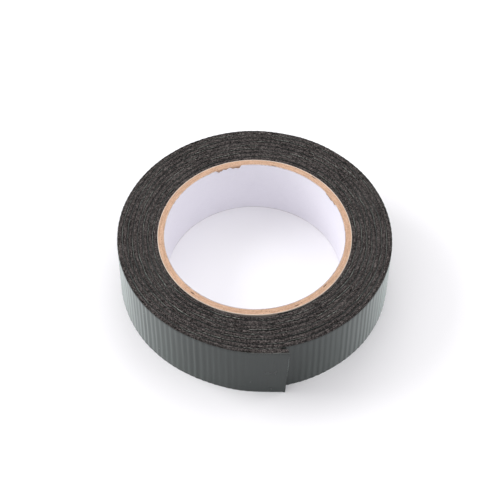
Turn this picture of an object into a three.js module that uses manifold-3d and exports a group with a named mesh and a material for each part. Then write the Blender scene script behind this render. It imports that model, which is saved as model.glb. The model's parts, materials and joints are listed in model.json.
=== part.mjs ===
// A roll of double-sided foam tape on a paperboard core.
// Eight turns of black foam, coated with adhesive on both sides and backed by a dark green release film,
// are wound on a spiral-wound tube. The free end of the tape lies on the outside of the roll.
// Units are millimetres, +Z is up. The core's axis is the Z axis, and the roll lies flat on z = 0.

import * as THREE from "three";
import { mergeVertices } from "three/addons/utils/BufferGeometryUtils.js";
import Module from "manifold-3d";

// The roll
const tapeWidth = 29.5;
const turns = 8;
const turnPitch = 2.12;
const facetAngle = 8; // degrees, shared by every ring and turn so that their flats lie parallel
const layerGap = 0.015; // clearance between the layers of the tape

// The core, from the inside out
const coreInnerRadius = 38.1;
const linerThickness = 0.2;
const boardPlyThickness = 0.475;
const boardPlies = 5;
const plyGap = 0.02;
const seamWidth = 0.35; // butt gap where a strip's edges meet
const seamSlope = 30; // degrees between a seam and the roll's flat face
const linerSeamAngle = 335;
const boardSeamAngles = [36, 277, 190, 256, 12];
const coverSeamAngle = 120;

// The layers of the tape
const filmThickness = 0.1;
const coatThickness = 0.06;

// The start line is where the tape begins on the core, and the free end stops above it.
// Each turn climbs over the one below it partly before that line and partly after it.
const startLine = 283.5; // degrees, counter-clockwise from +X
const climbBefore = 40; // degrees
const climbAfter = 64; // degrees
const firstClimbShare = 0.25; // share of the climb that the first turn makes before the line
const climbShareStep = 0.085; // how much that share grows with each turn

// The free end, which bends at three lines, and the tab of film at its tip
const bendSpacing = 8; // degrees
const bendClearance = 0.12; // degrees
const tailFacetAngle = bendSpacing / 3;
const tailSections = 3;
const tailAngle = bendSpacing * (tailSections + 1); // the last section is twice as long
const straightAngle = 11.5; // degrees before the tip where the tail leaves the roll along a straight line
const filmOverhang = 0.3; // degrees that the film reaches past the foam

const coreOuterRadius =
  coreInnerRadius + 2 * linerThickness + boardPlies * boardPlyThickness + (boardPlies + 1) * plyGap;
const webBase = coreOuterRadius + plyGap;
const webEnd = 360 * turns;
const tailStart = webEnd - tailAngle;

const finishes = {
  liner: { color: 0xe9e7f2, roughness: 0.55, metalness: 0 },
  board: { color: 0xcba88c, roughness: 0.9, metalness: 0 },
  cover: { color: 0xe4d6c8, roughness: 0.75, metalness: 0 },
  foam: { color: 0x3a3634, roughness: 0.95, metalness: 0 },
  coat: { color: 0x57534f, roughness: 0.35, metalness: 0 },
  film: { color: 0x47504c, roughness: 0.22, metalness: 0 },
};

const wasm = await Module();
wasm.setup();

function piece(name, finish, geometry) {
  const mesh = new THREE.Mesh(geometry, new THREE.MeshStandardMaterial(finishes[finish]));
  mesh.name = name;
  return mesh;
}

function polar(radius, degrees) {
  const angle = THREE.MathUtils.degToRad(degrees);
  return new THREE.Vector2(radius * Math.cos(angle), radius * Math.sin(angle));
}

function extrude(shape) {
  return new THREE.ExtrudeGeometry(shape, { depth: tapeWidth, bevelEnabled: false, steps: 1 });
}

// ---- the core ----

function toSolid(geometry) {
  const plain = geometry.clone();
  plain.deleteAttribute("normal");
  plain.deleteAttribute("uv");
  const merged = mergeVertices(plain, 1e-4);
  const vertProperties = new Float32Array(merged.attributes.position.array);
  const triVerts = new Uint32Array(merged.index.array);
  return new wasm.Manifold(new wasm.Mesh({ numProp: 3, vertProperties, triVerts }));
}

function toGeometry(solid) {
  const { vertProperties, triVerts } = solid.getMesh();
  const geometry = new THREE.BufferGeometry();
  geometry.setAttribute("position", new THREE.BufferAttribute(vertProperties, 3));
  geometry.setIndex(new THREE.BufferAttribute(triVerts, 1));
  return geometry;
}

function ring(innerRadius, outerRadius) {
  const corners = Array.from({ length: 360 / facetAngle }, (_, i) => startLine + i * facetAngle);
  const shape = new THREE.Shape(corners.map((angle) => polar(outerRadius, angle)));
  shape.holes.push(new THREE.Path(corners.map((angle) => polar(innerRadius, angle))));
  return extrude(shape);
}

// A thin slab that crosses the wall on one side, sloping as the edge of a wound strip does.
function seamCut(radius, seamAngle) {
  const slab = new THREE.BoxGeometry(radius / 2, 2 * radius, seamWidth);
  slab.rotateX(THREE.MathUtils.degToRad(seamSlope));
  slab.translate(radius, 0, tapeWidth / 2);
  slab.rotateZ(THREE.MathUtils.degToRad(seamAngle));
  return slab;
}

// One strip of paper or board wound round the tube: a ring that is open along its sloping seam.
function woundStrip(innerRadius, thickness, seamAngle) {
  const wall = toSolid(ring(innerRadius, innerRadius + thickness));
  const cut = toSolid(seamCut(innerRadius, seamAngle));
  return toGeometry(wall.subtract(cut));
}

function makeCore() {
  const core = new THREE.Group();
  let radius = coreInnerRadius;
  const addStrip = (name, finish, thickness, seamAngle) => {
    core.add(piece(name, finish, woundStrip(radius, thickness, seamAngle)));
    radius += thickness + plyGap;
  };
  addStrip("core_inner_paper", "liner", linerThickness, linerSeamAngle);
  boardSeamAngles.forEach((seamAngle, i) => {
    addStrip(`core_board_ply_${i + 1}`, "board", boardPlyThickness, seamAngle);
  });
  addStrip("core_outer_paper", "cover", linerThickness, coverSeamAngle);
  return core;
}

// ---- the tape ----

const smooth = (x) => THREE.MathUtils.smoothstep(x, 0, 1);
const climbShare = (turn) => firstClimbShare + climbShareStep * Math.min(turn, turns - 1);

// Radius of the surface that turn number `turn` is wound on, `angle` degrees past the start line.
function boundaryRadius(turn, angle) {
  const climbed = climbShare(turn) * smooth((angle - 360 + climbBefore) / climbBefore);
  const toClimb = turn === 0 ? 0 : (1 - climbShare(turn - 1)) * (1 - smooth(angle / climbAfter));
  return webBase + turnPitch * (turn + climbed - toClimb);
}

// Where the tape's two faces are after `along` degrees of winding. Along a straight line that leaves the roll,
// the radius grows by 1 / cos of the angle past the point where it leaves.
function tapeFaces(along) {
  const turn = Math.min(Math.floor(along / 360), turns - 1);
  const angle = along - 360 * turn;
  const pastStraight = THREE.MathUtils.degToRad(Math.max(0, along - webEnd + straightAngle));
  const growth = 1 / Math.cos(pastStraight);
  return { low: boundaryRadius(turn, angle) * growth, high: boundaryRadius(turn + 1, angle) * growth };
}

// Depths of the layers, measured up from the tape's inner face or down from its outer face.
const filmTop = layerGap;
const filmBase = filmTop + filmThickness;
const outerCoatTop = filmBase + layerGap;
const outerCoatBase = outerCoatTop + coatThickness;
const foamTop = outerCoatBase + layerGap;
const foamBase = coatThickness + layerGap;

const layers = {
  adhesive_inner: { finish: "coat", inner: ({ low }) => low, outer: ({ low }) => low + coatThickness },
  foam: { finish: "foam", inner: ({ low }) => low + foamBase, outer: ({ high }) => high - foamTop },
  adhesive_outer: {
    finish: "coat",
    inner: ({ high }) => high - outerCoatBase,
    outer: ({ high }) => high - outerCoatTop,
  },
  release_film: { finish: "film", inner: ({ high }) => high - filmBase, outer: ({ high }) => high - filmTop },
};

// Angles from `from` to `to`, at the ends and at every multiple of `step` between them.
function stations(from, to, step) {
  const first = Math.floor(from / step) + 1;
  const inner = [];
  for (let i = first; i * step < to - 1e-6; i += 1) {
    inner.push(i * step);
  }
  return [from, ...inner, to];
}

function layerSpan(layer, from, to, step) {
  const angles = stations(from, to, step);
  const outside = angles.map((along) => polar(layer.outer(tapeFaces(along)), startLine + along));
  const inside = angles.map((along) => polar(layer.inner(tapeFaces(along)), startLine + along));
  return extrude(new THREE.Shape([...outside, ...inside.reverse()]));
}

function makeWeb() {
  const web = new THREE.Group();
  for (const [name, layer] of Object.entries(layers)) {
    web.add(piece(`${name}_web`, layer.finish, layerSpan(layer, 0, tailStart - bendClearance, facetAngle)));
  }
  return web;
}

function makeTailSection(number) {
  const section = new THREE.Group();
  const from = tailStart + bendSpacing * (number - 1);
  const isLast = number === tailSections;
  for (const [name, layer] of Object.entries(layers)) {
    const runsToTip = isLast && layer !== layers.release_film;
    const to = runsToTip ? webEnd : from + bendSpacing - bendClearance;
    section.add(piece(`${name}_tail_${number}`, layer.finish, layerSpan(layer, from, to, tailFacetAngle)));
  }
  return section;
}

function makeFilmTab() {
  const from = webEnd - bendSpacing;
  const geometry = layerSpan(layers.release_film, from, webEnd + filmOverhang, tailFacetAngle);
  return piece("release_film_tab", layers.release_film.finish, geometry);
}

const roll = new THREE.Group();
roll.add(makeCore());
roll.add(makeWeb());

let joinedTo = roll;
for (let number = 1; number <= tailSections; number += 1) {
  const section = makeTailSection(number);
  joinedTo.add(section);
  joinedTo = section;
}
joinedTo.add(makeFilmTab());

export default roll;
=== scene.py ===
import json
import math

import bpy
import numpy as np
from mathutils import Matrix, Vector


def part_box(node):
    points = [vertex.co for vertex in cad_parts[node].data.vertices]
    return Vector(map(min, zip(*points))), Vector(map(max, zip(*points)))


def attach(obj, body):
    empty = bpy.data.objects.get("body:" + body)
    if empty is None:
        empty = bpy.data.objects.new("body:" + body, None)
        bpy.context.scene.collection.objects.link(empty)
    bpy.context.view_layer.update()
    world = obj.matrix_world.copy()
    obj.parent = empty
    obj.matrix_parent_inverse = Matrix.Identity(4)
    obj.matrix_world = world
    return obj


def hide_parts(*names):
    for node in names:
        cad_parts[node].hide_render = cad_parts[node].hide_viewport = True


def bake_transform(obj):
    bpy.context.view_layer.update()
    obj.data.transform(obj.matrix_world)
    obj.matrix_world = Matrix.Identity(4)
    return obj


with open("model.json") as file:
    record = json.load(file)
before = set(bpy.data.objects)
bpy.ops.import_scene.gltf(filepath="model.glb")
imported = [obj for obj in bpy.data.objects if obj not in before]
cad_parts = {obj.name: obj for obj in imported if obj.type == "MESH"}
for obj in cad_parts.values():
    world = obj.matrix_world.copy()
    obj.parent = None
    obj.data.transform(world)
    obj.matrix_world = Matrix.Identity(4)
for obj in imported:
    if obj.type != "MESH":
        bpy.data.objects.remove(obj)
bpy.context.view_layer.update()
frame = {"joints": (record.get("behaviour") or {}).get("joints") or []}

scene = bpy.context.scene
mm = 0.001

# how the tape is wound: angles in degrees, and s or along is always degrees of winding since the tape's start
tape = dict(
    turns=8,
    pitch=2.12 * mm,
    startLine=283.5,  # where the tape begins on the core, counter-clockwise from +X
    climbBefore=40,
    climbAfter=64,
    firstClimb=0.25,
    climbGrowth=0.085,
    film=0.1 * mm,
    coat=0.06 * mm,
    gap=0.015 * mm,
    straight=11.5,  # degrees before the tip where the free end leaves the roll along a straight line
    wobble=0.03 * mm,
    closed=4.5,  # degrees before the tip where the foam stops touching the turn below
    slant=0.9,  # degrees that the foam's end leans back from top to bottom
    leanStart=6,  # degrees before the tip where the cut's lean begins
    leanOver=6.5,  # and the degrees over which it grows
    lean=0.22 * mm,  # how far the upper edges of the turns wander in and out together
    leanLength=3.0 * mm,
    leanFade=(2.0 * mm, 2.6 * mm),  # how far from the core and from the outermost turn that wandering fades
    clearance=0.02 * mm,  # between the core and the tape
)
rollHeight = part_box("foam_web")[1].z
webBase = -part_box("core_outer_paper")[0].x + tape["clearance"]
webEnd = 360 * tape["turns"]
coatDepth = tape["coat"] + tape["gap"]
filmDepth = tape["film"] + 2 * tape["gap"]


def smooth(x):
    # 3x^2 - 2x^3 between 0 and 1
    x = np.clip(x, 0, 1)
    return x * x * (3 - 2 * x)


def waves(x, seed, count=6, lowest=1.0, spread=1.7):
    # a sum of sines of rising frequency and falling height, with phases drawn from the seed, about -1 to 1
    draw = np.random.default_rng(seed)
    x = np.asarray(x, float)
    total, weight = np.zeros_like(x), 0.0
    for i in range(count):
        size = 1 / (i + 1) ** 0.7
        pace = lowest * spread**i * draw.uniform(0.85, 1.15)
        total = total + size * np.sin(pace * x + draw.uniform(0, math.tau))
        weight += size
    return total / weight * 1.6


def valueNoise(x, y, seed, cells=256):
    # random heights on a square lattice, joined by the smooth step in both directions, 0 to 1
    lattice = np.random.default_rng(seed).random((cells, cells))
    xi, yi = np.floor(x).astype(int), np.floor(y).astype(int)
    xf, yf = smooth(x - xi), smooth(y - yi)
    a, b = lattice[xi % cells, yi % cells], lattice[(xi + 1) % cells, yi % cells]
    c, d = lattice[xi % cells, (yi + 1) % cells], lattice[(xi + 1) % cells, (yi + 1) % cells]
    return (a * (1 - xf) + b * xf) * (1 - yf) + (c * (1 - xf) + d * xf) * yf


# the camera looks from the front and above, a little to the side of the roll's middle
view = dict(
    elevation=53.44,
    distance=651.7 * mm,
    roll=0.70,
    lens=107.24,
    sideways=-1.91 * mm,
    upwards=10.94 * mm,
)


def makeCamera():
    e = math.radians(view["elevation"])
    right, up = Vector((1, 0, 0)), Vector((0, math.sin(e), math.cos(e)))
    back = Vector((0, -math.cos(e), math.sin(e)))
    data = bpy.data.cameras.new("camera")
    data.lens, data.sensor_width, data.sensor_fit = view["lens"], 36, "HORIZONTAL"
    data.clip_start, data.clip_end = 0.01, 20
    camera = bpy.data.objects.new("camera", data)
    scene.collection.objects.link(camera)
    place = back * view["distance"] + right * view["sideways"] + up * view["upwards"]
    turn = Matrix((right, up, back)).transposed() @ Matrix.Rotation(math.radians(view["roll"]), 3, "Z")
    camera.matrix_world = Matrix.Translation(place) @ turn.to_4x4()
    scene.camera = camera


# a white surround with three large soft lamps: place in metres, side in metres, power in watts
studio = dict(
    surround=0.895,
    surroundColour=(0.985, 0.98, 1.0, 1),
    lamps=dict(
        keyLeft=dict(place=(-0.98, 0.24, 0.60), side=0.7, power=8.8),
        fillRight=dict(place=(0.90, 0.05, 0.80), side=0.9, power=2.6),
        topBack=dict(place=(0.10, 0.90, 0.90), side=0.8, power=2.4),
    ),
)


def makeStudio():
    scene.view_settings.view_transform = "Standard"
    scene.view_settings.look = "None"
    world = bpy.data.worlds.new("whiteStudio")
    scene.world = world
    world.use_nodes = True
    background = world.node_tree.nodes["Background"]
    background.inputs["Color"].default_value = studio["surroundColour"]
    background.inputs["Strength"].default_value = studio["surround"]
    for name, lamp in studio["lamps"].items():
        data = bpy.data.lights.new(name, "AREA")
        data.shape, data.size, data.energy = "SQUARE", lamp["side"], lamp["power"]
        light = bpy.data.objects.new(name, data)
        scene.collection.objects.link(light)
        place = Vector(lamp["place"])
        aim = (-place).to_track_quat("-Z", "Y")
        light.matrix_world = Matrix.Translation(place) @ aim.to_matrix().to_4x4()


floor = dict(half=6.0, below=0.01 * mm, colour=(0.925, 0.918, 0.93, 1), roughness=0.6)


def makeFloor():
    half, z = floor["half"], -floor["below"]
    corners = [(-half, -half, z), (half, -half, z), (half, half, z), (-half, half, z)]
    mesh = bpy.data.meshes.new("studioFloor")
    mesh.from_pydata(corners, [], [(0, 1, 2, 3)])
    sheet = bpy.data.objects.new("studioFloor", mesh)
    scene.collection.objects.link(sheet)
    material = bpy.data.materials.new("studioWhite")
    material.use_nodes = True
    shader = material.node_tree.nodes["Principled BSDF"]
    shader.inputs["Base Color"].default_value = floor["colour"]
    shader.inputs["Roughness"].default_value = floor["roughness"]
    mesh.materials.append(material)


makeCamera()
makeStudio()
makeFloor()
print("camera, studio and floor ready")


# radius of the surface the tape is wound on, after s degrees: one pitch more for each turn, with the climb
# over the turn below shared between the stretches before and after the start line, and a slight waviness.
# The tape's outer face is the same surface one turn further on.
def windRadius(s):
    turn = np.floor(s / 360 + 1e-9)
    angle = s - 360 * turn
    share = tape["firstClimb"] + tape["climbGrowth"] * np.minimum(turn, tape["turns"] - 1)
    climbed = share * smooth((angle - 360 + tape["climbBefore"]) / tape["climbBefore"])
    shareBelow = tape["firstClimb"] + tape["climbGrowth"] * np.minimum(turn - 1, tape["turns"] - 1)
    toClimb = np.where(turn < 1, 0, (1 - shareBelow) * (1 - smooth(angle / tape["climbAfter"])))
    wobble = tape["wobble"] * waves(np.radians(s), 5, lowest=2.3) * smooth(s / 300)
    return webBase + tape["pitch"] * (turn + climbed - toClimb) + wobble


# inner and outer face of the tape. Where the free end runs straight, the outer face grows by 1 / cos of the
# angle covered. The inner one stays on the turn below at first, because the foam swells there, and opens near
# the tip
def tapeFaces(along):
    growth = 1 / np.cos(np.radians(np.maximum(along - webEnd + tape["straight"], 0)))
    opening = (growth - 1) * (1 - np.clip((webEnd - along) / tape["closed"], 0, 1) ** 2)
    return windRadius(along) * (1 + opening), windRadius(along + 360) * growth


def endLean(along):
    # 0 along the tape, rising to 1 in the last degrees before the tip
    return smooth((along - webEnd + tape["leanStart"]) / tape["leanOver"]) ** 6


# slitting drags the edges of the turns in and out together: a shift along the radius that grows with height
# and is drawn from one field of noise over the whole roll, so that neighbours never part
def leaned(points):
    x, y, z = points[..., 0], points[..., 1], points[..., 2]
    radius = np.hypot(x, y)
    field = valueNoise(x / tape["leanLength"], y / tape["leanLength"], 3) - 0.5
    inside = webBase + tape["pitch"] * tape["turns"] - radius
    nearCore, nearOutside = tape["leanFade"]
    fade = smooth((radius - webBase) / nearCore) * smooth(inside / nearOutside)
    shift = 2 * tape["lean"] * field * fade * z / rollHeight
    return np.stack((x + x / radius * shift, y + y / radius * shift, z), -1)


def windLength(s):
    # length of tape wound on after s degrees: the mean radius so far times the angle
    return (webBase + tape["pitch"] * (0.5 + s / 720)) * math.radians(s)


def polar(radius, degrees, height):
    # radius, angle from +X and height become x, y and z, all arrays of one shape
    a = np.radians(degrees)
    return np.stack(np.broadcast_arrays(radius * np.cos(a), radius * np.sin(a), height), -1)


def stations(start, end, step):
    return np.linspace(start, end, max(3, int(round((end - start) / step)) + 1))


# distance along the middle of a band, and distance round its profile, in metres
def bandUvs(points, start=0.0):
    middle = points.mean(1)
    along = np.concatenate(([0], np.cumsum(np.linalg.norm(np.diff(middle, axis=0), axis=1))))
    section = points[len(points) // 2]
    around = np.concatenate(([0], np.cumsum(np.linalg.norm(np.diff(section, axis=0), axis=1))))
    return np.stack(np.broadcast_arrays(along[:, None] + start, around[None, :]), -1)


# a closed band: a profile carried along stations. points is stations x profile x 3, and the profile runs up
# the inner side, out over the top, down the outer side and back along the bottom, so that its faces point
# outwards
def makeBand(name, points, material, start=0.0, sharp=50):
    rows, cols = points.shape[:2]
    i, j = np.meshgrid(np.arange(rows - 1), np.arange(cols), indexing="ij")
    k = (j + 1) % cols
    quads = np.stack((i * cols + j, i * cols + k, (i + 1) * cols + k, (i + 1) * cols + j), -1).reshape(-1, 4)
    startCap, endCap = np.arange(cols)[::-1], (rows - 1) * cols + np.arange(cols)
    faces = quads.tolist() + [startCap.tolist(), endCap.tolist()]
    mesh = bpy.data.meshes.new(name)
    mesh.from_pydata(points.reshape(-1, 3).tolist(), [], faces)
    uvs = bandUvs(points, start)
    uvs = np.concatenate((uvs, 2 * uvs[:, -1:] - uvs[:, -2:-1]), axis=1)
    quadUv = np.stack((uvs[i, j], uvs[i, j + 1], uvs[i + 1, j + 1], uvs[i + 1, j]), -2).reshape(-1, 2)
    capUv = np.concatenate((uvs[0, :cols][::-1], uvs[-1, :cols]))
    layer = mesh.uv_layers.new(name="bandUv")
    layer.uv.foreach_set("vector", np.concatenate((quadUv, capUv)).astype(np.float32).ravel())
    mesh.shade_smooth()
    mesh.set_sharp_from_angle(angle=math.radians(sharp))
    mesh.materials.append(material)
    piece = bpy.data.objects.new(name, mesh)
    scene.collection.objects.link(piece)
    return piece


def bendAt(joint):
    x, y = joint["pos_m"][:2]
    return webEnd - (tape["startLine"] - math.degrees(math.atan2(y, x))) % 360


jointAt = {joint["child"]: bendAt(joint) for joint in frame["joints"]}
firstCut = 1.5 * jointAt["tail_1"] - 0.5 * jointAt["tail_2"]
secondCut = (jointAt["tail_1"] + jointAt["tail_2"]) / 2
thirdCut = (jointAt["tail_2"] + jointAt["tail_3"]) / 2
tipCut = (jointAt["tail_3"] + jointAt["film_tab"]) / 2
print("bend lines at", [round(at, 2) for at in jointAt.values()])


# bakes a piece's placement into its mesh
def bendAcross(piece):
    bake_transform(piece)


# one layer of the tape: the wound turns, then a piece for each bend of the free end
def addLayer(name, nodeName, material, pointsOf, turnStations, step, spans):
    turnsPiece = makeBand(f"{name}_turns", leaned(pointsOf(turnStations)), material)
    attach(turnsPiece, "roll")
    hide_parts(f"{nodeName}_web")
    made = [turnsPiece]
    for child, (start, end) in spans.items():
        ending = child.replace("tail", "end").replace("film_tab", "tip")
        points = leaned(pointsOf(stations(start, end, step)))
        piece = makeBand(f"{name}_{ending}", points, material, windLength(start))
        bendAcross(piece)
        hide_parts(f"{nodeName}_{child}" if child != "film_tab" else f"{nodeName}_tab")
        made.append(piece)
    print(name, "wound from", len(made), "pieces")
    return made


tailSpans = {"tail_1": (firstCut, secondCut), "tail_2": (secondCut, thirdCut), "tail_3": (thirdCut, webEnd)}


# adds a node to a tree, with its settings, and gives its inputs a value or a link
def wire(tree, kind, inputs=None, **settings):
    node = tree.nodes.new("ShaderNode" + kind)
    for key, value in settings.items():
        setattr(node, key, value)
    for key, value in (inputs or {}).items():
        if isinstance(value, bpy.types.NodeSocket):
            tree.links.new(value, node.inputs[key])
        else:
            node.inputs[key].default_value = value
    return node


def arithmetic(tree, operation, a, b=0.0, clamp=False):
    return wire(tree, "Math", {0: a, 1: b}, operation=operation, use_clamp=clamp).outputs[0]


def remap(tree, value, low, high, toLow=0.0, toHigh=1.0):
    sockets = {"Value": value, "From Min": low, "From Max": high, "To Min": toLow, "To Max": toHigh}
    return wire(tree, "MapRange", sockets, clamp=True).outputs["Result"]


def blendColour(tree, factor, a, b):
    return wire(tree, "Mix", {0: factor, 6: a, 7: b}, data_type="RGBA").outputs[2]


def newGroup(name, inputs, outputs):
    # inputs are name: default, where None is a vector
    group = bpy.data.node_groups.new(name, "ShaderNodeTree")
    for label, value in inputs.items():
        kind = "NodeSocketVector" if value is None else "NodeSocketFloat"
        socket = group.interface.new_socket(name=label, in_out="INPUT", socket_type=kind)
        if value is not None:
            socket.default_value = value
    for label in outputs:
        group.interface.new_socket(name=label, in_out="OUTPUT", socket_type="NodeSocketFloat")
    return group, group.nodes.new("NodeGroupInput").outputs, group.nodes.new("NodeGroupOutput").inputs


def noiseAt(tree, vector, detail, roughness=0.5):
    sockets = {"Vector": vector, "Scale": 1.0, "Detail": detail, "Roughness": roughness}
    return wire(tree, "TexNoise", sockets).outputs[0]


def contrasted(tree, value, contrast):
    # spreads a value about its middle, 0.5
    spread = arithmetic(tree, "MULTIPLY", arithmetic(tree, "SUBTRACT", value, 0.5), contrast)
    return arithmetic(tree, "ADD", spread, 0.5, clamp=True)


def inUnitsOf(tree, vector, size):
    scale = arithmetic(tree, "DIVIDE", 1.0, size)
    return wire(tree, "VectorMath", {0: vector, "Scale": scale}, operation="SCALE").outputs[0]


# long thin streaks on a band's own uvs: noise stretched to Along by Across metres
def makeStreaks():
    inputs = {"UV": None, "Along": 0.008, "Across": 0.0001, "Contrast": 1.5}
    group, given, result = newGroup("streaks", inputs, ["Value"])
    axes = wire(group, "SeparateXYZ", {0: given["UV"]}).outputs
    x = arithmetic(group, "DIVIDE", axes["X"], given["Along"])
    y = arithmetic(group, "DIVIDE", axes["Y"], given["Across"])
    place = wire(group, "CombineXYZ", {"X": x, "Y": y}).outputs[0]
    noise = noiseAt(group, place, detail=3.0, roughness=0.6)
    group.links.new(contrasted(group, noise, given["Contrast"]), result["Value"])
    return group


# grain of one size in metres, with round pores between: Grain 0 to 1, Pores 1 at the middle of a pore
def makeGrain():
    inputs = {"Vector": None, "Size": 0.0004, "Contrast": 1.6}
    group, given, result = newGroup("grain", inputs, ["Grain", "Pores"])
    place = inUnitsOf(group, given["Vector"], given["Size"])
    noise = noiseAt(group, place, detail=4.0, roughness=0.65)
    group.links.new(contrasted(group, noise, given["Contrast"]), result["Grain"])
    cells = wire(group, "TexVoronoi", {"Vector": place, "Scale": 0.8, "Randomness": 1.0}).outputs["Distance"]
    group.links.new(remap(group, cells, 0.12, 0.42, 1.0, 0.0), result["Pores"])
    return group


# wide soft patches of handling and dust, broken up by fine grain
def makePatches():
    group, given, result = newGroup("patches", {"Vector": None, "Size": 0.02, "Fine": 0.001}, ["Mask"])
    patch = noiseAt(group, inUnitsOf(group, given["Vector"], given["Size"]), detail=2.0)
    speck = noiseAt(group, inUnitsOf(group, given["Vector"], given["Fine"]), detail=3.0)
    mask = arithmetic(group, "MULTIPLY", remap(group, patch, 0.35, 0.70), remap(group, speck, 0.30, 0.70))
    group.links.new(mask, result["Mask"])
    return group


# a cut edge is broken into stretches and into dots, as many to the metre as densities says
breaks = dict(densities=(45.0, 700.0), whole=0.58, gone=0.44)


# 1 on the cut upper and lower edges of a strip, fading over Depth metres, and broken along it by Broken
def makeCutEdge():
    inputs = {"Vector": None, "UV": None, "Depth": 0.0003, "Broken": 0.5}
    group, given, result = newGroup("cutEdge", inputs, ["Mask"])
    z = wire(group, "SeparateXYZ", {0: given["Vector"]}).outputs["Z"]
    fromMiddle = arithmetic(group, "ABSOLUTE", arithmetic(group, "SUBTRACT", z, rollHeight / 2))
    inside = arithmetic(group, "SUBTRACT", rollHeight / 2, fromMiddle)
    near = arithmetic(group, "SUBTRACT", 1.0, arithmetic(group, "DIVIDE", inside, given["Depth"]), clamp=True)
    gaps = []
    for density in breaks["densities"]:
        stretched = wire(group, "VectorMath", {0: given["UV"], 1: (density, 0.0, 0.0)}, operation="MULTIPLY")
        noise = noiseAt(group, stretched.outputs[0], detail=2.0)
        gaps.append(remap(group, noise, breaks["whole"], breaks["gone"]))
    broken = arithmetic(group, "MULTIPLY", arithmetic(group, "MAXIMUM", *gaps), given["Broken"])
    keep = arithmetic(group, "SUBTRACT", 1.0, broken)
    group.links.new(arithmetic(group, "MULTIPLY", near, keep), result["Mask"])
    return group


streaks, grain, patches, cutEdge = makeStreaks(), makeGrain(), makePatches(), makeCutEdge()


def apply(tree, group, inputs):
    return wire(tree, "Group", inputs, node_tree=group).outputs


def newMaterial(name):
    material = bpy.data.materials.new(name)
    material.use_nodes = True
    tree = material.node_tree
    texture = tree.nodes.new("ShaderNodeTexCoord").outputs
    uv = wire(tree, "UVMap", uv_map="bandUv").outputs[0]
    return material, tree, tree.nodes["Principled BSDF"], texture["Object"], uv


def finishWith(tree, shader, colour, roughness, height, depth):
    tree.links.new(colour, shader.inputs["Base Color"])
    tree.links.new(roughness, shader.inputs["Roughness"])
    bump = wire(tree, "Bump", {"Height": height, "Distance": depth, "Strength": 1.0}).outputs[0]
    tree.links.new(bump, shader.inputs["Normal"])


foamLook = dict(
    dark=(0.0050, 0.0042, 0.0040, 1),
    light=(0.142, 0.121, 0.116, 1),
    fleckColour=(0.40, 0.385, 0.36, 1),
    dust=(0.13, 0.12, 0.115, 1),
    cell=0.56 * mm,
    stretched=(1.5 * mm, 0.42 * mm),  # cells along and across the tape
    fleck=(2.0 * mm, 0.26 * mm),
    edge=0.24 * mm,  # how wide the painted shade along the grooves beside the next turn is
    width=1.84 * mm,
    grainShare=0.62,
    streakShare=0.38,
    poreShare=0.40,
    grooveShadeShare=0.65,
    tonePower=1.5,
    dustShow=0.30,
    fleckShows=(0.76, 0.95),  # noise from which a fleck begins to show, and where it is whole
    roughness=(0.98, 0.80),  # of the darkest and of the lightest foam
    specular=0.12,
    bump=0.20 * mm,
)


def makeFoamLook():
    material, tree, shader, vector, uv = newMaterial("blackFoam")
    cells = apply(tree, grain, {"Vector": vector, "Size": foamLook["cell"], "Contrast": 8.0})
    along, across = foamLook["stretched"]
    drawn = apply(tree, streaks, {"UV": uv, "Along": along, "Across": across, "Contrast": 9.0})["Value"]
    along, across = foamLook["fleck"]
    flecks = apply(tree, streaks, {"UV": uv, "Along": along, "Across": across, "Contrast": 2.0})["Value"]
    dust = apply(tree, patches, {"Vector": vector, "Size": 9 * mm, "Fine": 0.5 * mm})["Mask"]
    tone = arithmetic(tree, "ADD", arithmetic(tree, "MULTIPLY", cells["Grain"], foamLook["grainShare"]),
                      arithmetic(tree, "MULTIPLY", drawn, foamLook["streakShare"]))
    pores = arithmetic(tree, "MULTIPLY", cells["Pores"], foamLook["poreShare"])
    tone = arithmetic(tree, "SUBTRACT", tone, pores, clamp=True)
    # painted shade: the foam top is darkened near both its edges, in the grooves between turns, unevenly
    # along them
    fromInner = wire(tree, "SeparateXYZ", {0: uv}).outputs["Y"]
    fromOuter = arithmetic(tree, "ABSOLUTE", arithmetic(tree, "SUBTRACT", fromInner, foamLook["width"]))
    fromEdge = arithmetic(tree, "MINIMUM", fromInner, fromOuter)
    grooveShade = remap(tree, fromEdge, 0.0, foamLook["edge"], foamLook["grooveShadeShare"], 0.0)
    uneven = apply(tree, grain, {"Vector": vector, "Size": 6 * mm, "Contrast": 3.0})["Grain"]
    grooveShade = arithmetic(tree, "MULTIPLY", grooveShade, uneven)
    tone = arithmetic(tree, "SUBTRACT", tone, grooveShade, clamp=True)
    lightness = arithmetic(tree, "POWER", tone, foamLook["tonePower"])
    colour = blendColour(tree, lightness, foamLook["dark"], foamLook["light"])
    dusty = arithmetic(tree, "MULTIPLY", dust, foamLook["dustShow"])
    colour = blendColour(tree, dusty, colour, foamLook["dust"])
    colour = blendColour(tree, remap(tree, flecks, *foamLook["fleckShows"]), colour, foamLook["fleckColour"])
    roughness = remap(tree, tone, 0.0, 1.0, *foamLook["roughness"])
    shader.inputs["Specular IOR Level"].default_value = foamLook["specular"]
    finishWith(tree, shader, colour, roughness, tone, foamLook["bump"])
    return material


coatLook = dict(
    colour=(0.030, 0.029, 0.027, 1),
    worn=(0.085, 0.082, 0.078, 1),
    roughness=(0.22, 0.42),
    bump=0.02 * mm,
)


def makeCoatLook():
    material, tree, shader, vector, uv = newMaterial("clearAdhesive")
    lumps = apply(tree, grain, {"Vector": vector, "Size": 0.9 * mm, "Contrast": 1.4})["Grain"]
    drawn = apply(tree, streaks, {"UV": uv, "Along": 14 * mm, "Across": 0.5 * mm, "Contrast": 1.6})["Value"]
    colour = blendColour(tree, drawn, coatLook["colour"], coatLook["worn"])
    roughness = remap(tree, lumps, 0.0, 1.0, *coatLook["roughness"])
    finishWith(tree, shader, colour, roughness, lumps, coatLook["bump"])
    return material


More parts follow.
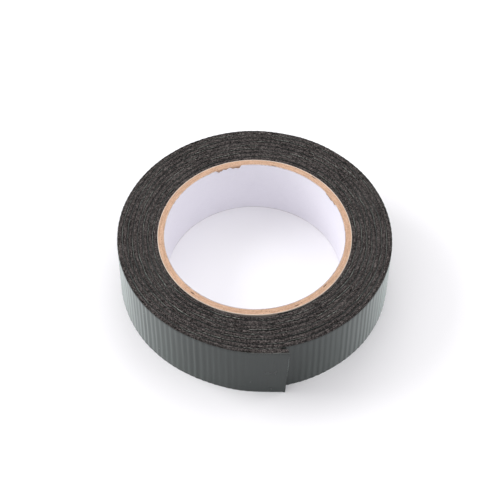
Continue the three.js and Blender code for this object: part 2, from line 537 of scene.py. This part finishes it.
filmLook = dict(
    deep=(0.0030, 0.0048, 0.0045, 1),
    pale=(0.0085, 0.0125, 0.0115, 1),
    # painted highlight: the colour of the glints along the film's cut edges
    edge=(0.38, 0.39, 0.35, 1),
    dust=(0.20, 0.20, 0.19, 1),
    dustShow=0.08,
    rimDepth=0.20 * mm,
    rimBroken=0.86,
    rimRoughness=0.3,
    roughness=(0.17, 0.30),
    ior=1.41,
    sheen=0.55,
    sheenRoughness=0.34,
    sheenTint=(0.84, 1.0, 0.95, 1),
    bump=0.008 * mm,
)


def makeFilmLook():
    material, tree, shader, vector, uv = newMaterial("greenReleaseFilm")
    drawn = apply(tree, streaks, {"UV": uv, "Along": 0.55 * mm, "Across": 16 * mm, "Contrast": 1.5})["Value"]
    cloudy = apply(tree, patches, {"Vector": vector, "Size": 16 * mm, "Fine": 2.4 * mm})["Mask"]
    specks = apply(tree, grain, {"Vector": vector, "Size": 0.55 * mm, "Contrast": 2.0})
    rimInputs = {"Vector": vector, "UV": uv, "Depth": filmLook["rimDepth"], "Broken": filmLook["rimBroken"]}
    rim = apply(tree, cutEdge, rimInputs)["Mask"]
    colour = blendColour(tree, drawn, filmLook["deep"], filmLook["pale"])
    dusty = arithmetic(tree, "MULTIPLY", remap(tree, specks["Grain"], 0.80, 0.98), filmLook["dustShow"])
    colour = blendColour(tree, dusty, colour, filmLook["dust"])
    # painted highlight: the film's cut upper and lower edges are painted light, broken into stretches and
    # dots, for the glints they catch
    colour = blendColour(tree, rim, colour, filmLook["edge"])
    roughness = arithmetic(tree, "ADD", remap(tree, cloudy, 0.0, 1.0, *filmLook["roughness"]),
                           arithmetic(tree, "MULTIPLY", rim, filmLook["rimRoughness"]))
    shader.inputs["IOR"].default_value = filmLook["ior"]
    shader.inputs["Sheen Weight"].default_value = filmLook["sheen"]
    shader.inputs["Sheen Roughness"].default_value = filmLook["sheenRoughness"]
    shader.inputs["Sheen Tint"].default_value = filmLook["sheenTint"]
    finishWith(tree, shader, colour, roughness, drawn, filmLook["bump"])
    return material


boardLook = dict(
    light=(0.76, 0.52, 0.37, 1),
    dark=(0.40, 0.245, 0.160, 1),
    fleck=(0.12, 0.065, 0.040, 1),
    fleckShow=0.8,
    wornShow=0.22,
    seamShadeShow=0.85,
    fibreShare=0.6,
    pulpShare=0.4,
    roughness=(0.95, 0.80),
    specular=0.3,
    bump=0.05 * mm,
)


def makeBoardLook():
    material, tree, shader, vector, uv = newMaterial("kraftBoard")
    fibres = apply(tree, streaks, {"UV": uv, "Along": 5 * mm, "Across": 0.34 * mm, "Contrast": 4.0})["Value"]
    pulp = apply(tree, grain, {"Vector": vector, "Size": 0.55 * mm, "Contrast": 3.5})
    worn = apply(tree, patches, {"Vector": vector, "Size": 7 * mm, "Fine": 0.6 * mm})["Mask"]
    tone = arithmetic(tree, "ADD", arithmetic(tree, "MULTIPLY", fibres, boardLook["fibreShare"]),
                      arithmetic(tree, "MULTIPLY", pulp["Grain"], boardLook["pulpShare"]), clamp=True)
    colour = blendColour(tree, tone, boardLook["dark"], boardLook["light"])
    bits = apply(tree, grain, {"Vector": vector, "Size": 0.9 * mm, "Contrast": 2.2})["Grain"]
    flecks = arithmetic(tree, "MULTIPLY", remap(tree, bits, 0.20, 0.08), boardLook["fleckShow"])
    colour = blendColour(tree, flecks, colour, boardLook["fleck"])
    worn = arithmetic(tree, "MULTIPLY", worn, boardLook["wornShow"])
    colour = blendColour(tree, worn, colour, boardLook["dark"])
    # painted shade at the strip's seam, where its two ends meet over the gap
    seamShade = wire(tree, "Attribute", attribute_type="GEOMETRY", attribute_name="seamShadeMask").outputs["Fac"]
    seamShade = arithmetic(tree, "MULTIPLY", seamShade, boardLook["seamShadeShow"])
    colour = blendColour(tree, seamShade, colour, boardLook["fleck"])
    roughness = remap(tree, tone, 0.0, 1.0, *boardLook["roughness"])
    shader.inputs["Specular IOR Level"].default_value = boardLook["specular"]
    finishWith(tree, shader, colour, roughness, tone, boardLook["bump"])
    return material


# the two papers differ in their tints and in the line painted along their cut edges: painted shade in brown
# on the white inner paper, where it meets the kraft, and a painted highlight on the pale cover paper
paperLooks = dict(
    whitePaper=dict(
        light=(0.81, 0.795, 0.85, 1),
        dark=(0.72, 0.70, 0.76, 1),
        edge=(0.27, 0.20, 0.16, 1),
        edgeDepth=0.40 * mm,
        edgeShow=0.80,
        roughness=(0.60, 0.42),  # of the darkest and of the lightest paper
        bump=0.015 * mm,
    ),
    palePaper=dict(
        light=(0.84, 0.74, 0.64, 1),
        dark=(0.62, 0.50, 0.40, 1),
        edge=(0.86, 0.80, 0.74, 1),
        edgeDepth=0.30 * mm,
        edgeShow=0.6,
        roughness=(0.85, 0.65),
        bump=0.03 * mm,
    ),
)


def makePaperLook(name, look):
    material, tree, shader, vector, uv = newMaterial(name)
    fibres = apply(tree, streaks, {"UV": uv, "Along": 1.6 * mm, "Across": 0.5 * mm, "Contrast": 1.3})["Value"]
    pulp = apply(tree, grain, {"Vector": vector, "Size": 0.5 * mm, "Contrast": 1.2})["Grain"]
    clouds = apply(tree, patches, {"Vector": vector, "Size": 11 * mm, "Fine": 3 * mm})["Mask"]
    rimInputs = {"Vector": vector, "UV": uv, "Depth": look["edgeDepth"], "Broken": 0.6}
    rim = apply(tree, cutEdge, rimInputs)["Mask"]
    tone = arithmetic(tree, "ADD", arithmetic(tree, "MULTIPLY", fibres, 0.5),
                      arithmetic(tree, "MULTIPLY", pulp, 0.5))
    tone = arithmetic(tree, "SUBTRACT", tone, arithmetic(tree, "MULTIPLY", clouds, 0.25), clamp=True)
    colour = blendColour(tree, tone, look["dark"], look["light"])
    # painted light along the cut edges: painted shade in brown on the white paper, a painted highlight on the
    # pale cover paper
    colour = blendColour(tree, arithmetic(tree, "MULTIPLY", rim, look["edgeShow"]), colour, look["edge"])
    finishWith(tree, shader, colour, remap(tree, tone, 0.0, 1.0, *look["roughness"]), tone, look["bump"])
    return material


looks = dict(
    foam=makeFoamLook(),
    adhesive=makeCoatLook(),
    release_film=makeFilmLook(),
    kraft_board=makeBoardLook(),
    inner_paper=makePaperLook("whitePaper", paperLooks["whitePaper"]),
    cover_paper=makePaperLook("palePaper", paperLooks["palePaper"]),
)
print("materials ready:", ", ".join(looks))


foam = dict(
    step=0.75,  # degrees between stations
    across=(0, 0.03, 0.09, 0.2, 0.35, 0.5, 0.65, 0.8, 0.91, 0.97, 1),  # shares of the thickness, on top
    edgeRound=0.48 * mm,
    edgeDepth=(0.16 * mm, 0.80 * mm),  # the groove between two turns opens and closes between these
    relief=0.15 * mm,
    cell=(0.9 * mm, 0.30 * mm),  # along and across the tape
    turnStep=0.15 * mm,  # how far the turns stand above or below each other
    flatFrom=8,  # degrees before the tip where the groove over the wedge begins to close
    flatOver=5,  # degrees in which it closes
    flatShare=0.7,  # and how much of it does
)


def turnRise(along):
    return foam["turnStep"] * waves(np.radians(along), 11, count=7, lowest=0.8)


# the foam's section runs from the inner to the outer face along the top, and back along the bottom. Both cut
# faces are a relief of stretched cells and fall away near an edge, by depth * (1 - distance / edgeRound)^2
def foamPoints(along):
    low, high = (face[:, None] for face in tapeFaces(along))
    inner, outer = low + coatDepth, high - coatDepth - filmDepth
    across = foam["across"]
    share = np.concatenate((across, across[::-2]))[None, :]
    onTop = (np.arange(share.size) < len(across))[None, :]
    radius = inner + (outer - inner) * share
    fromEdge = np.minimum(radius - inner, outer - radius)
    shallow, deep = foam["edgeDepth"]
    gaping = 0.5 + 0.5 * waves(np.radians(along), 17, count=7, lowest=3)[:, None]
    closing = smooth((along - webEnd + foam["flatFrom"]) / foam["flatOver"])[:, None]
    flat = 1 - foam["flatShare"] * closing * (share < 0.5)
    depth = (shallow + (deep - shallow) * np.clip(gaping, 0, 1)) * flat
    drop = depth * np.clip(1 - fromEdge / foam["edgeRound"], 0, 1) ** 2
    x, y = np.radians(along)[:, None] * radius / foam["cell"][0], radius / foam["cell"][1]
    relief = 0.65 * valueNoise(x, y, 21) + 0.35 * valueNoise(x * 2.3, y * 1.9, 22)
    top = rollHeight + turnRise(along)[:, None] + foam["relief"] * (relief - 0.5) - drop
    bottom = foam["relief"] * relief + drop
    leaning = np.where(onTop, 0, tape["slant"] * endLean(along)[:, None])
    return polar(radius, tape["startLine"] + along[:, None] - leaning, np.where(onTop, top, bottom))


foamPieces = addLayer("foam", "foam", looks["foam"], foamPoints,
                      stations(0, firstCut, foam["step"]), foam["step"] / 2, tailSpans)


coats = dict(turnStep=1.5, endStep=0.5, sunk=0.60 * mm)


# a coat's section is a plain rectangle between two depths, a little short of the foam's cut faces
def coatPoints(along, innerOf, outerOf):
    low, high = (face[:, None] for face in tapeFaces(along))
    inner, outer = innerOf(low, high), outerOf(low, high)
    top = rollHeight - coats["sunk"] + turnRise(along)[:, None]
    bottom = coats["sunk"] + 0 * top
    radius = np.concatenate((inner, inner, outer, outer), 1)
    height = np.concatenate((bottom, top, top, bottom), 1)
    leaning = tape["slant"] * endLean(along)[:, None] * np.array([[1, 0, 0, 1]])
    return polar(radius, tape["startLine"] + along[:, None] - leaning, height)


def innerCoatPoints(along):
    return coatPoints(along, lambda low, high: low, lambda low, high: low + tape["coat"])


def outerCoatPoints(along):
    depth = filmDepth + tape["coat"]
    return coatPoints(along, lambda low, high: high - depth, lambda low, high: high - filmDepth)


coatStations = stations(0, firstCut, coats["turnStep"])
addLayer("inner_coat", "adhesive_inner", looks["adhesive"], innerCoatPoints, coatStations,
         coats["endStep"], tailSpans)
addLayer("outer_coat", "adhesive_outer", looks["adhesive"], outerCoatPoints, coatStations,
         coats["endStep"], tailSpans)


film = dict(
    innerStep=1.5,  # degrees between stations where the film is wound in
    outerStep=0.34,  # and on the outer turn, where it shows
    rows=(0, 0.012, 0.04, 0.12, 0.25, 0.4, 0.55, 0.7, 0.84, 0.94, 0.975, 0.99, 1),
    gapBelow=0.02 * mm,  # under the film's lower edge
    proud=-0.10 * mm,  # of the wound edges over the foam
    showProud=-0.25 * mm,  # and of the edge of the outer turn
    tipProud=0.05 * mm,
    edgeWave=0.28 * mm,
    edgeRoll=0.05 * mm,  # how far the upper edge leans over the foam's rounded edge
    edgeRollFrom=0.965,  # share of the height
    tipRoll=0.08 * mm,  # and how far it does at the tip
    tipRollFrom=0.93,
    buckle=0.02 * mm,
    overhang=0.25,  # degrees past the foam's end
    slant=1.25,  # degrees that the cut leans back from top to bottom
    tipWave=0.08,  # degrees
    cornerDrop=0.25 * mm,
    cornerZone=(0.2, 0.75),  # degrees before the tip where the corner begins to drop, and over which it does
    tipZone=9,  # degrees before the tip where the edge begins to rise and roll
    riseOver=7,  # degrees in which it rises
    showing=366,  # degrees before the tip where the film begins to show
    showsOver=8,  # degrees in which its exposed shape grows there
    calmed=0.75,  # share of the edge's wave that is gone where it shows
    rises=0.6,  # share of the foam's ups and downs that the edge follows
    ribSpacing=2.748,  # degrees
    ribHeight=0.125 * mm,
    ribSkew=0.72,
    ribFade=(19, 14),  # degrees before the end where the ribs begin to fade, and where they are gone
)
outerTurn = webEnd - film["showing"]


def shows(along):
    # 0 where the film is wound in, rising to 1 in the first degrees of the outer turn
    return smooth((along - outerTurn) / film["showsOver"])


# ribs across the film: for each spacing a swell (1 - cos(2 pi p^skew)) / 2, where p runs from 0 to 1 over
# it, a little uneven, on the outer turn only
def ribHeight(along, share):
    turned = np.radians(along)
    phase = along / film["ribSpacing"] + 0.10 * waves(turned, 31, lowest=9) + 0.05 * waves(share * 4, 32)
    swell = 0.5 - 0.5 * np.cos(math.tau * (phase % 1) ** film["ribSkew"])
    uneven = 0.75 + 0.35 * waves(turned, 33, lowest=14)
    fadeStart, fadeEnd = film["ribFade"]
    fading = smooth((along - webEnd + fadeStart) / (fadeStart - fadeEnd))
    return film["ribHeight"] * swell * uneven * shows(along) * (1 - fading)


# the film's section: up the inner face and down the outer one, over a thin upper edge that waves a little
# above and below the foam and leans over it. The free end is cut a little crooked
def filmPoints(along):
    low, high = (face[:, None] for face in tapeFaces(along))
    s = along[:, None]
    share = np.concatenate(([0.0, 0.5, 0.94, 1.0], film["rows"][::-1]))[None, :]
    outside = (np.arange(share.size) >= 4)[None, :]
    exposed = shows(s)
    buckle = film["buckle"] * exposed * waves(np.radians(s) + 0.15 * share, 35, lowest=5)
    shape = ribHeight(s, share) + buckle
    edgeRoll = film["edgeRoll"] * smooth((share - film["edgeRollFrom"]) / (1 - film["edgeRollFrom"])) ** 2
    tipRoll = film["tipRoll"] * smooth((share - film["tipRollFrom"]) / (1 - film["tipRollFrom"])) ** 2
    shape = shape - edgeRoll - tipRoll * smooth((s - webEnd + film["tipZone"]) / film["tipZone"])
    radius = high - tape["gap"] - np.where(outside, 0, tape["film"]) + shape
    wave = film["edgeWave"] * waves(np.radians(s), 41, count=6, lowest=9) * (1 - film["calmed"] * exposed)
    proud = film["proud"] + (film["showProud"] - film["proud"]) * exposed
    rise = smooth((s - webEnd + film["tipZone"]) / film["riseOver"])
    proud = proud + (film["tipProud"] - film["showProud"]) * rise
    cornerStart, cornerOver = film["cornerZone"]
    corner = film["cornerDrop"] * smooth((s - webEnd + cornerStart) / cornerOver) ** 2
    top = rollHeight + proud + film["rises"] * turnRise(s) + wave - corner
    crooked = endLean(s) * (film["tipWave"] * waves(share * 5, 43) + film["slant"] * (share - 1))
    return polar(radius, tape["startLine"] + s + crooked, film["gapBelow"] + (top - film["gapBelow"]) * share)


filmStations = np.concatenate((stations(0, outerTurn, film["innerStep"])[:-1],
                               stations(outerTurn, firstCut, film["outerStep"])))
filmSpans = {
    "tail_1": (firstCut, secondCut),
    "tail_2": (secondCut, thirdCut),
    "tail_3": (thirdCut, tipCut),
    "film_tab": (tipCut, webEnd + film["overhang"]),
}
addLayer("film", "release_film", looks["release_film"], filmPoints, filmStations,
         film["outerStep"], filmSpans)


core = dict(
    liner=0.2 * mm,
    ply=0.475 * mm,
    gap=0.02 * mm,
    seamSlope=30,  # degrees between a seam and the roll's flat face
    seamWidth=0.50 * mm,
    linerSeamWidth=0.22 * mm,
    linerSeam=335,
    plySeams=(36, 277, 190, 256, 12),
    coverSeam=120,
    fuzz=0.06 * mm,
    rimRound=0.12 * mm,
    rowCrowding=1.6,  # power that crowds a wall's rows towards its rim
    rimReach=0.14,  # share of the height, down from the rim, that moves with it
    plyStep=0.05 * mm,  # how far the rims of the plies stand above or below each other
    tears=((25, 38, 0.75 * mm), (99, 117, 0.95 * mm), (121, 124, 0.35 * mm)),  # from, to, depth
    tearRamp=1.6,  # degrees in which a tear reaches its depth
    leanFrom=0.93,  # share of the height from which the inner paper's edge leans inwards
    linerGrid=(720, 50),  # stations round the strip and rows up each side of its wall
    plyGrid=(300, 26),
    nextStart=0.37,  # metres between the places where neighbouring strips begin in their textures
)


# one wound strip: the wall is a ring that is open along a seam climbing at the slope, so the seam's angle is
# arcsin(height from the middle / tan(slope) / radius) past its place, and each row of the wall starts there.
# rimOf lowers and roughens the rim, and leanOf moves the wall in or out
def stripPoints(inner, outer, seam, seamWidth, grid, rimOf, leanOf=None):
    count, wallRows = grid
    rise = 1 - np.linspace(1, 0, wallRows) ** core["rowCrowding"]
    rim = np.array([0.15, 0.5, 0.85])
    share = np.concatenate((rise, 0 * rim + 1, rise[::-1], 0 * rim))[None, :]
    across = np.concatenate((0 * rise, rim, 0 * rise + 1, rim[::-1]))[None, :]
    slope = math.radians(core["seamSlope"])
    seamAngle = seam + np.degrees(np.arcsin((share - 0.5) * rollHeight / math.tan(slope) / inner))
    opening = math.degrees(seamWidth / math.sin(slope) / inner)
    angle = seamAngle + opening / 2 + np.linspace(0, 1, count)[:, None] * (360 - opening)
    radius = inner + (outer - inner) * across
    if leanOf:
        radius = radius + leanOf(angle, share)
    nearRim = smooth(1 - (1 - share) / core["rimReach"])
    return polar(radius, angle, rollHeight * share + rimOf(angle, across) * nearRim)


def plyRim(seed):
    def rimOf(angle, across):
        fibres = valueNoise((angle % 360) * 1.3, across * 2.5 + 9, seed) - 0.5
        rounded = core["rimRound"] * (2 * across - 1) ** 4
        slow = 0.3 * waves(np.radians(angle), seed, lowest=2)
        return core["plyStep"] * math.sin(2.1 * seed) + core["fuzz"] * (fibres + slow) - rounded
    return rimOf


# depth of the torn stretches of the inner paper's edge, ragged along each of them
def tearDepth(angle):
    a = angle % 360
    depth = 0
    for start, end, deep in core["tears"]:
        inside = smooth((a - start) / core["tearRamp"]) * smooth((end - a) / core["tearRamp"])
        depth = depth + deep * inside * (0.35 + 0.9 * valueNoise(a * 0.95, a * 0 + 3, 61))
    return depth


def linerRim(angle, across):
    fray = core["fuzz"] * valueNoise((angle % 360) * 2.2, across * 0 + 5, 62)
    return 0.8 * core["fuzz"] - fray - tearDepth(angle)


def linerLean(angle, share):
    near = smooth((share - core["leanFrom"]) / (1 - core["leanFrom"]))
    curl = core["fuzz"] * (waves(np.radians(angle), 63, lowest=6) + 0.8)
    return -near * (0.5 * tearDepth(angle) + 0.5 * curl)


# painted shade darkens the two ends of each strip, where they meet at its seam, for the shade in the seam's
# gap
def markSeamShade(strip, points):
    seamShade = np.zeros(points.shape[:2], np.float32)
    seamShade[[0, -1]] = 1
    strip.data.attributes.new("seamShadeMask", "FLOAT", "POINT").data.foreach_set("value", seamShade.ravel())


def addCore():
    plies = [(f"core_board_ply_{i + 1}", core["ply"], seam) for i, seam in enumerate(core["plySeams"])]
    strips = [("core_inner_paper", core["liner"], core["linerSeam"]), *plies,
              ("core_outer_paper", core["liner"], core["coverSeam"])]
    inner = -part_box("core_inner_paper")[0].x - core["liner"]
    for number, (node, thickness, seam) in enumerate(strips):
        slotName = {0: "inner_paper", len(strips) - 1: "cover_paper"}.get(number, "kraft_board")
        isLiner = number == 0
        outer = inner + thickness
        if isLiner:
            seamWidth, grid = core["linerSeamWidth"], core["linerGrid"]
            points = stripPoints(inner, outer, seam, seamWidth, grid, linerRim, linerLean)
        else:
            seamWidth, grid = core["seamWidth"], core["plyGrid"]
            points = stripPoints(inner, outer, seam, seamWidth, grid, plyRim(70 + number))
        name, start = node.replace("core_", "wound_"), core["nextStart"] * number
        strip = makeBand(name, points, looks[slotName], start)
        markSeamShade(strip, points)
        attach(strip, "roll")
        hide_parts(node)
        inner = outer + core["gap"]
    print("core wound from", len(strips), "strips")


addCore()
